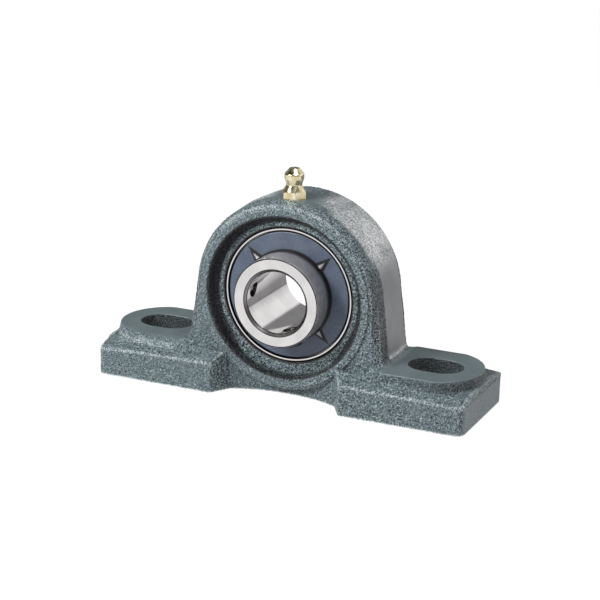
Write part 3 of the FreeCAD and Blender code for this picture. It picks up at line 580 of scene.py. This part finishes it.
def step(value, low, high):
    """0 below low, 1 above high, and smooth between."""
    t = np.clip((value - low) / (high - low), 0, 1)
    return t * t * (3 - 2 * t)


def fade(value, low, high):
    """1 below low, 0 above high, and smooth between."""
    return 1 - step(value, low, high)


def shaft_radius(points):
    """Distance from the shaft axis."""
    return np.hypot(points[:, 0], points[:, 2] - CENTRE_HEIGHT)


def perlin(points, size, shift):
    """Smooth noise from -1 to 1, with another pattern for each shift."""
    offset = Vector((shift, shift, shift))
    return np.array([noise.noise(Vector(p) / size + offset) for p in points])


def grains(points, size):
    """Rounded sand grains: high in the middle of each cell, low between cells."""
    distances = np.array([noise.voronoi(Vector(p) / size)[0][0] for p in points])
    return 0.5 - np.clip(distances, 0, 1)


def ground_share(points):
    """1 where the skin is bare: along the dome, on its right shoulder, underneath and in the seat."""
    x, y, z = points.T
    rise = z - CENTRE_HEIGHT
    radius = shaft_radius(points)
    outside = step(radius, DOME_RADIUS - 1.6 * MM, DOME_RADIUS - 0.9 * MM) * step(z, 15.5 * MM, 17 * MM)
    band_edge = 0.5 * MM * perlin(points, 5 * MM, 3.0) + 0.25 * MM * perlin(points, 1.2 * MM, 4.0)
    band = fade(y + band_edge, GROUND_BAND_BACK - 0.3 * MM, GROUND_BAND_BACK + 0.3 * MM)
    band *= step(y + band_edge, -GROUND_BAND_FRONT - 0.3 * MM, -GROUND_BAND_FRONT + 0.3 * MM)
    angle = np.degrees(np.arctan2(rise, np.abs(x)))
    worn = 0.5 + 0.5 * step(perlin(points, 7 * MM, 9.0), -0.25, 0.2)
    worn = np.maximum(worn, fade(angle, 24, 34)) * fade(angle, 66, 80)
    right = np.degrees(np.arctan2(rise, x))
    frost = SHOULDER_FROST * step(right, 20, 32) * fade(right, 58, 70) * step(y, -9.5 * MM, -7 * MM)
    under = fade(z, 0.15 * MM, 0.5 * MM)
    seat = fade(radius, 24.0 * MM, 24.3 * MM) * fade(np.abs(y), 8.6 * MM, 8.9 * MM)
    dome = outside * np.maximum(band * worn, frost)
    return np.clip(np.maximum.reduce([dome, under, seat]), 0, 1)


def dressed_share(points):
    """1 where the painted skin is smooth: on the pads, the feet's slopes and ends, and round the nipple."""
    x, y, z = points.T
    radius = shaft_radius(points)
    spot = fade(np.hypot(x, y - NIPPLE_Y), NIPPLE_SPOT, NIPPLE_SPOT + 3 * MM)
    spot *= step(z, CENTRE_HEIGHT, CENTRE_HEIGHT + 1 * MM) * step(radius, 29 * MM, 30 * MM)
    spot *= step(y, -9.6 * MM, -8.2 * MM)
    pads = step(z, PAD_HEIGHT - 0.5 * MM, PAD_HEIGHT - 0.2 * MM)
    pads *= step(np.abs(x), PAD_START, PAD_START + 3 * MM)
    pads *= fade(z, PAD_HEIGHT + 1.6 * MM, PAD_HEIGHT + 2.4 * MM)
    slope = SLOPE_DRESSING * fade(np.abs(z - 12.4 * MM), 0.7 * MM, 1.2 * MM)
    slope *= step(np.abs(x), 36 * MM, 42 * MM)
    slope *= step(np.abs(y), 15.6 * MM, 16.4 * MM) * fade(np.abs(y), 17.6 * MM, 18.2 * MM)
    ends = END_DRESSING * step(np.abs(x), HOUSING_HIGH.x - 0.6 * MM, HOUSING_HIGH.x - 0.25 * MM)
    ends *= fade(z, 8.0 * MM, 9.0 * MM)
    return np.clip(np.maximum.reduce([spot, pads, slope, ends]), 0, 1)


def highlit_band_share(points):
    """1 where the ground band gets a painted highlight with glints: on its upper part and in its foot."""
    x, y, z = points.T
    angle = np.degrees(np.arctan2(z - CENTRE_HEIGHT, np.abs(x)))
    return np.maximum(step(angle, 16, 34), fade(z, 16.5 * MM, 18.5 * MM))


def calm_share(points, normals):
    """1 where the paint lies evenly and the light falls face-on, so that the painted pit shade and glints
    are weaker: on the faces and feet away from the recess, least to the right.
    """
    x = points[:, 0]
    radius = shaft_radius(points)
    facing = np.maximum(step(np.abs(normals[:, 1]), 0.75, 0.95), 0.8 * step(normals[:, 2], 0.3, 0.8))
    facing *= 1 - 0.45 * step(x, -8 * MM, 22 * MM) * (1 - 0.6 * step(np.abs(x), 36 * MM, 48 * MM))
    inside = fade(radius, RECESS_WALL, RECESS_MOUTH) * step(radius, 20 * MM, 21 * MM)
    return facing * (1 - inside)


def flank_share(points, normals):
    """1 on the flanks of the body in front of and behind the ground band, which get painted shade with
    glints where the light grazes them.
    """
    z = points[:, 2]
    radius = shaft_radius(points)
    side = step(np.abs(normals[:, 0]), 0.45, 0.75) * step(z, 14.5 * MM, 16 * MM)
    return side * step(radius, 27.5 * MM, 29 * MM) * fade(z, 40 * MM, 49 * MM)


def shaded_share(points):
    """Painted shade where it stays dark: on the recess wall, partly over dark bare iron, and the outer ring
    of its floor, wider at the bottom, in the seat, in the bolt slots and below the right pad's rim.
    """
    x, y, z = points.T
    radius = shaft_radius(points)
    depth = np.abs(y)
    # Painted shade on the recess wall and its floor's outer ring, wider at the bottom
    low = 1.8 * MM * step(CENTRE_HEIGHT - z, 13 * MM, 22 * MM)
    wall = step(radius - low, RECESS_WALL - 1.9 * MM, RECESS_WALL - 1.2 * MM)
    wall *= fade(radius, RECESS_MOUTH - 0.9 * MM, RECESS_MOUTH - 0.1 * MM)
    wall *= step(depth, RECESS_FLOOR - 1.0 * MM, RECESS_FLOOR - 0.5 * MM)
    # Painted shade in the seat behind the ring and in the bolt slots
    seat = fade(radius, 22.5 * MM, 22.8 * MM)
    slot = fade(off_slot(points), 0.05 * MM, 0.35 * MM)
    slot *= fade(z, PAD_HEIGHT - 0.5 * MM, PAD_HEIGHT - 0.1 * MM)
    # Painted shadow below the right pad's rim, growing towards the foot's end
    out = off_pad(points)
    growth = step(x, 44 * MM, 58 * MM)
    under_rim = step(out, -0.15 * MM, 0.20 * MM) * step(x, 30 * MM, 33 * MM)
    under_rim *= fade(out - growth * 0.8 * MM, 0.4 * MM, 1.1 * MM)
    under_rim *= fade(z, PAD_HEIGHT - 0.6 * MM, PAD_HEIGHT - 0.2 * MM)
    under_rim *= (0.25 + 0.35 * growth) * step(z, 11 * MM, 12 * MM)
    return np.maximum.reduce([WALL_SHADE * wall, SEAT_SHADE * seat, SLOT_SHADE * slot, under_rim])


def off_pad(points):
    """Distance outside the outline of the nearer pad, and negative on the pad."""
    x, y = points[:, 0], points[:, 1]
    beside = np.abs(y) - PAD_HALF_WIDTH
    beyond = np.hypot(np.abs(x) - SLOT_X, y) - PAD_END_RADIUS
    return np.where(np.abs(x) < PAD_STRAIGHT_END, beside, beyond)


def off_slot(points):
    """Distance outside the nearer bolt slot."""
    x, y = points[:, 0], points[:, 1]
    along = np.maximum(np.abs(np.abs(x) - SLOT_X) - SLOT_STRAIGHT, 0)
    return np.hypot(along, y) - SLOT_RADIUS


def chip_and_glint_share(points, edge):
    """Chipped paint on edges, which also serves as painted glints there, with painted glints along the
    feet's ridges and ends, on an arc on the lip, on the left pad's front band and on the right shoulder.
    """
    x, y, z = points.T
    radius = shaft_radius(points)
    angle = np.degrees(np.arctan2(z - CENTRE_HEIGHT, x))
    out = off_pad(points)
    # Painted glints along the feet's front ridges
    drop = np.interp(np.abs(x), *FOOT_SIDE_DROPS)
    beside = np.abs(y) - (BASE_HALF_WIDTH - RIDGE_INSET)
    off_ridge = np.hypot(beside, z - (PAD_HEIGHT - drop - 0.30 * MM))
    ridge = fade(off_ridge, 0.30 * MM, 0.75 * MM) * step(np.abs(x), 22.5 * MM, 24 * MM)
    # Painted glints on the right shoulder and on the left pad's front band
    shoulder = SHOULDER_GLINT * step(angle, 8, 22) * fade(angle, 58, 72) * step(radius, 31 * MM, 32.5 * MM)
    band = step(-x, 34 * MM, 38 * MM) * step(out, 0.0 * MM, 0.6 * MM)
    band *= fade(out, 1.4 * MM, 2.2 * MM)
    band *= step(-y, 8 * MM, 11 * MM) * step(z, 11 * MM, 12 * MM)
    rims = step(z, PAD_HEIGHT - 1.2 * MM, PAD_HEIGHT - 0.6 * MM)
    rims *= fade(np.abs(out), 0.6 * MM, 1.0 * MM)
    rims = np.maximum(rims, fade(off_slot(points), 0.8 * MM, 1.2 * MM))
    corners = step(np.abs(x), 20.5 * MM, 21.5 * MM) * fade(np.abs(x), 25 * MM, 26 * MM)
    corners *= fade(z, 8 * MM, 9 * MM)
    # Chipped paint and painted glints on edges, less on the pad rims and corners
    edge_chips_and_glints = edge * (1 - RIM_CHIP_AND_GLINT_CUT * np.maximum(rims, corners))
    # Painted glints along the feet's end edges and on an arc on the lip
    end_drop = np.interp(np.abs(y), *FOOT_END_DROPS)
    tips = step(np.abs(x), HOUSING_HIGH.x - 1.5 * MM, HOUSING_HIGH.x - 1.0 * MM)
    tips *= fade(np.abs(z - (PAD_HEIGHT - end_drop - 0.4 * MM)), 0.5 * MM, 0.9 * MM)
    arc = fade(np.abs(radius - LIP_RADIUS + 0.2 * MM), 0.35 * MM, 0.75 * MM)
    arc *= step(angle, 35, 55) * fade(angle, 128, 150) * step(np.abs(y), 11.5 * MM, 12 * MM)
    return np.maximum.reduce([edge_chips_and_glints, ridge, shoulder, PAD_BAND_GLINT * band, tips, LIP_GLINT * arc])


def narrow_lip(points):
    """Sets the outer part of both lips back onto the faces."""
    y, z = points[:, 1], points[:, 2]
    radius = shaft_radius(points)
    outer = step(radius, LIP_RADIUS - 0.25 * MM, LIP_RADIUS + 0.25 * MM)
    limit = LIP_FACE - LIP_PROUD * outer
    points = points.copy()
    proud = (np.abs(y) > limit) & (radius < DOME_RADIUS) & (np.abs(y) < LIP_FACE + 0.5 * MM)
    proud &= (z > 15 * MM) | (radius < 33.0 * MM)
    points[proud, 1] = (np.sign(y) * limit)[proud]
    return points


def soft_rim_share(points):
    """1 on the left pad's front rim, which runs out into the foot, and where the pads meet the body."""
    x, y, z = points.T
    rim = step(-x, 31 * MM, 35 * MM) * step(-y, 10.5 * MM, 13.0 * MM)
    inner = step(np.abs(x), 26 * MM, 28 * MM) * fade(np.abs(x), 33.5 * MM, 36 * MM)
    inner *= step(np.abs(y), 11.5 * MM, 13 * MM) * fade(z, 16 * MM, 17.5 * MM)
    in_front_of_side = fade(np.abs(y), 17.0 * MM, 18.2 * MM)
    return np.maximum(rim, inner) * in_front_of_side * step(z, 8 * MM, 10 * MM)


def clear_of_ring(points):
    """Pushes the bearing's seat back, so that the coarser mesh stays clear of the outer ring."""
    offset = points - np.array([0, 0, CENTRE_HEIGHT])
    distance = np.linalg.norm(offset, axis=1)
    wanted = OUTER_RING_RADIUS + SEAT_CLEARANCE
    beside = np.abs(points[:, 1]) < OUTER_RING_HALF_WIDTH + 0.6 * MM
    close = beside & (distance < wanted)
    offset[close] *= (wanted / distance[close])[:, None]
    return offset + np.array([0, 0, CENTRE_HEIGHT])


def cast_housing():
    """Skin of the casting: the CAD housing with sand grains, ripples and ground places."""
    mesh = remeshed(frame["nodes"]["housing"], "cast_housing", VOXEL)
    points = np.zeros(len(mesh.vertices) * 3, np.float32)
    mesh.vertices.foreach_get("co", points)
    ends = edge_ends(mesh)
    points = narrow_lip(points.reshape(-1, 3).astype(float))
    points = smoothed(points, ends, SMOOTHING_SHARES * SMOOTHING_ROUNDS)
    mesh.vertices.foreach_set("co", points.ravel())
    mesh.update()
    normals = np.zeros(len(points) * 3, np.float32)
    mesh.vertices.foreach_get("normal", normals)
    normals = normals.reshape(-1, 3)
    shrunk = smoothed(points, ends, (SHRINK_SHARE,) * EDGE_ROUNDS)
    edge = np.clip(((points - shrunk) * normals).sum(axis=1) / EDGE_SIZE, 0, 1)
    soft_rim = soft_rim_share(points)[:, None]
    soft = smoothed(shrunk, ends, (SHRINK_SHARE,) * SOFT_ROUNDS)
    points = points * (1 - soft_rim) + soft * soft_rim
    ground = ground_share(points)
    dressed = dressed_share(points)
    grain = grains(points, GRAIN_SIZE) + 0.7 * perlin(points, GRAIN_SIZE * 0.8, 1.0)
    ripple = perlin(points, RIPPLE_SIZE, 5.0)
    swell = perlin(points, SWELL_SIZE, 7.0)
    amount = 1 - (1 - GROUND_ROUGHNESS) * np.maximum(ground, dressed)
    height = GRAIN_HEIGHT * grain + RIPPLE_HEIGHT * ripple + SWELL_HEIGHT * swell
    flat = step(points[:, 2], 0.1 * MM, 0.6 * MM)
    points = points + normals * (height * amount * flat)[:, None]
    points = clear_of_ring(points)
    points[:, 2] = np.maximum(points[:, 2], 0)
    mesh.vertices.foreach_set("co", points.ravel())
    layers = {
        "ground": ground,
        "dressed": dressed,
        "height": np.clip(0.5 + 0.6 * grain, 0, 1),
        # chipped paint and painted glints
        "edge": chip_and_glint_share(points, edge),
        "shade": shaded_share(points),
        # painted shade with glints on the flanks
        "flank": flank_share(points, normals),
        # painted highlight on the ground band
        "bright": highlit_band_share(points),
        # where the painted pit shade and glints are weaker
        "calm": calm_share(points, normals),
    }
    for name, values in layers.items():
        layer = mesh.attributes.new(name, "FLOAT", "POINT")
        layer.data.foreach_set("value", values.astype(np.float32))
    mesh.shade_smooth()
    mesh.update()
    piece = bpy.data.objects.new("cast_housing", mesh)
    bpy.context.collection.objects.link(piece)
    mesh.materials.clear()
    mesh.materials.append(cast_paint())
    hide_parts("housing")
    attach(piece, "housing")
    return piece


# Materials of the CAD nodes

def dress_nodes():
    looks = {
        "yellow_plating": yellow_plating(),
        "polished_steel": plain_metal("polished_steel", (0.80, 0.80, 0.82), 0.10),
        "spring_steel": plain_metal("spring_steel", (0.60, 0.60, 0.62), 0.30),
        "inner_ring": inner_ring_steel(),
        "outer_ring": outer_ring_steel(),
        "pressed_steel": plain_metal("pressed_steel", (0.50, 0.49, 0.47), 0.38, relief=0.02 * MM),
        "seal_rubber": seal_rubber(),
        "slinger_steel": slinger_steel(),
        "black_steel": plain_metal(
            "black_steel", (0.045, 0.045, 0.050), 0.40, metallic=0.6, relief=0.02 * MM
        ),
    }
    for row in frame["record"]["subparts"]:
        if row["node"] == "housing":
            continue
        mesh = frame["nodes"][row["node"]].data
        mesh.materials.clear()
        mesh.materials.append(looks.get(row["node"]) or looks[row["material_slot"]])


# Camera, floor and light

def camera():
    back = Vector((
        math.sin(CAMERA_AZIMUTH) * math.cos(CAMERA_ELEVATION),
        -math.cos(CAMERA_AZIMUTH) * math.cos(CAMERA_ELEVATION),
        math.sin(CAMERA_ELEVATION),
    ))
    level = Vector((math.cos(CAMERA_AZIMUTH), math.sin(CAMERA_AZIMUTH), 0))
    upright = back.cross(level)
    right = level * math.cos(CAMERA_ROLL) + upright * math.sin(CAMERA_ROLL)
    up = upright * math.cos(CAMERA_ROLL) - level * math.sin(CAMERA_ROLL)
    lens = bpy.data.cameras.new("camera")
    lens.sensor_width = SENSOR_WIDTH
    lens.lens = FOCAL_LENGTH
    lens.clip_start = 0.05
    lens.clip_end = 20
    cam = bpy.data.objects.new("camera", lens)
    bpy.context.collection.objects.link(cam)
    place = CAMERA_TARGET + back * CAMERA_DISTANCE + right * CAMERA_SIDESTEP + up * CAMERA_RISE
    cam.matrix_world = Matrix((right, up, back)).transposed().to_4x4()
    cam.location = place
    bpy.context.scene.camera = cam


def seen_directly(tree):
    """1 for what the camera sees, also in a mirror or through glass."""
    path = tree.nodes.new("ShaderNodeLightPath")
    total = path.outputs["Is Camera Ray"]
    for name in ("Is Glossy Ray", "Is Transmission Ray"):
        total = math_node(tree, "MAXIMUM", total, path.outputs[name])
    return total


def floor():
    """White sweep that keeps a soft shadow. Metal sees it dimmer behind the object."""
    mesh = bpy.data.meshes.new("floor")
    side = FLOOR_HALF_SIZE
    corners = [(-side, -side, 0), (side, -side, 0), (side, side, 0), (-side, side, 0)]
    mesh.from_pydata(corners, [], [(0, 1, 2, 3)])
    piece = bpy.data.objects.new("floor", mesh)
    bpy.context.collection.objects.link(piece)
    piece.location.z = -FLOOR_DEPTH
    material = bpy.data.materials.new("floor")
    material.use_nodes = True
    tree = material.node_tree
    diffuse = tree.nodes["Principled BSDF"]
    diffuse.inputs["Base Color"].default_value = colour(0.86, 0.86, 0.86)
    diffuse.inputs["Roughness"].default_value = 0.9
    diffuse.inputs["Specular IOR Level"].default_value = 0.1
    path = tree.nodes.new("ShaderNodeLightPath")
    split = tree.nodes.new("ShaderNodeSeparateXYZ")
    geometry = tree.nodes.new("ShaderNodeNewGeometry")
    tree.links.new(geometry.outputs["Position"], split.inputs[0])
    mirrored = ramp_between(tree, split.outputs["Y"], *REAR_FLOOR_FADE, 1.0, REAR_FLOOR)
    glow = tree.nodes.new("ShaderNodeEmission")
    glow.inputs["Color"].default_value = colour(1, 1, 1)
    brightness = blended(tree, path.outputs["Is Glossy Ray"], FLOOR_GLOW, mirrored)
    tree.links.new(brightness, glow.inputs["Strength"])
    share = math_node(tree, "MULTIPLY", seen_directly(tree), GLOW_SHARE)
    blend = tree.nodes.new("ShaderNodeMixShader")
    tree.links.new(share, blend.inputs[0])
    tree.links.new(diffuse.outputs[0], blend.inputs[1])
    tree.links.new(glow.outputs[0], blend.inputs[2])
    tree.links.new(blend.outputs[0], tree.nodes["Material Output"].inputs["Surface"])
    mesh.materials.append(material)


def world():
    """White to the camera, a plain grey to what it lights, and a room of light and dark to metal."""
    sky = bpy.data.worlds.new("world")
    bpy.context.scene.world = sky
    sky.use_nodes = True
    tree = sky.node_tree
    background = tree.nodes["Background"]
    background.inputs["Color"].default_value = colour(1, 1, 1)
    direction = tree.nodes.new("ShaderNodeTexCoord")
    split = tree.nodes.new("ShaderNodeSeparateXYZ")
    tree.links.new(direction.outputs["Generated"], split.inputs[0])
    room = None
    for axis, low, high, start, end in ROOM_FADES:
        share = ramp_between(tree, split.outputs[axis], low, high, start, end)
        room = share if room is None else math_node(tree, "MULTIPLY", room, share)
    path = tree.nodes.new("ShaderNodeLightPath")
    value = blended(tree, path.outputs["Is Glossy Ray"], WORLD_LIGHT, room)
    value = blended(tree, path.outputs["Is Transmission Ray"], value, 1.0)
    value = blended(tree, path.outputs["Is Camera Ray"], value, 1.0)
    tree.links.new(value, background.inputs["Strength"])


def softbox(name, azimuth, elevation, width, height, power):
    """Area lamp at a direction from the object, facing it."""
    a, e = math.radians(azimuth), math.radians(elevation)
    back = Vector((math.sin(a) * math.cos(e), -math.cos(a) * math.cos(e), math.sin(e)))
    lamp = bpy.data.lights.new(name, "AREA")
    lamp.shape = "RECTANGLE"
    lamp.size = width
    lamp.size_y = height
    lamp.energy = power
    piece = bpy.data.objects.new(name, lamp)
    bpy.context.collection.objects.link(piece)
    piece.rotation_mode = "QUATERNION"
    piece.rotation_quaternion = back.to_track_quat("Z", "Y")
    piece.location = CAMERA_TARGET + back * LAMP_DISTANCE


cast_housing()
dress_nodes()
camera()
floor()
world()
for lamp_row in LAMPS:
    softbox(*lamp_row)
bpy.context.scene.view_settings.view_transform = "Standard"
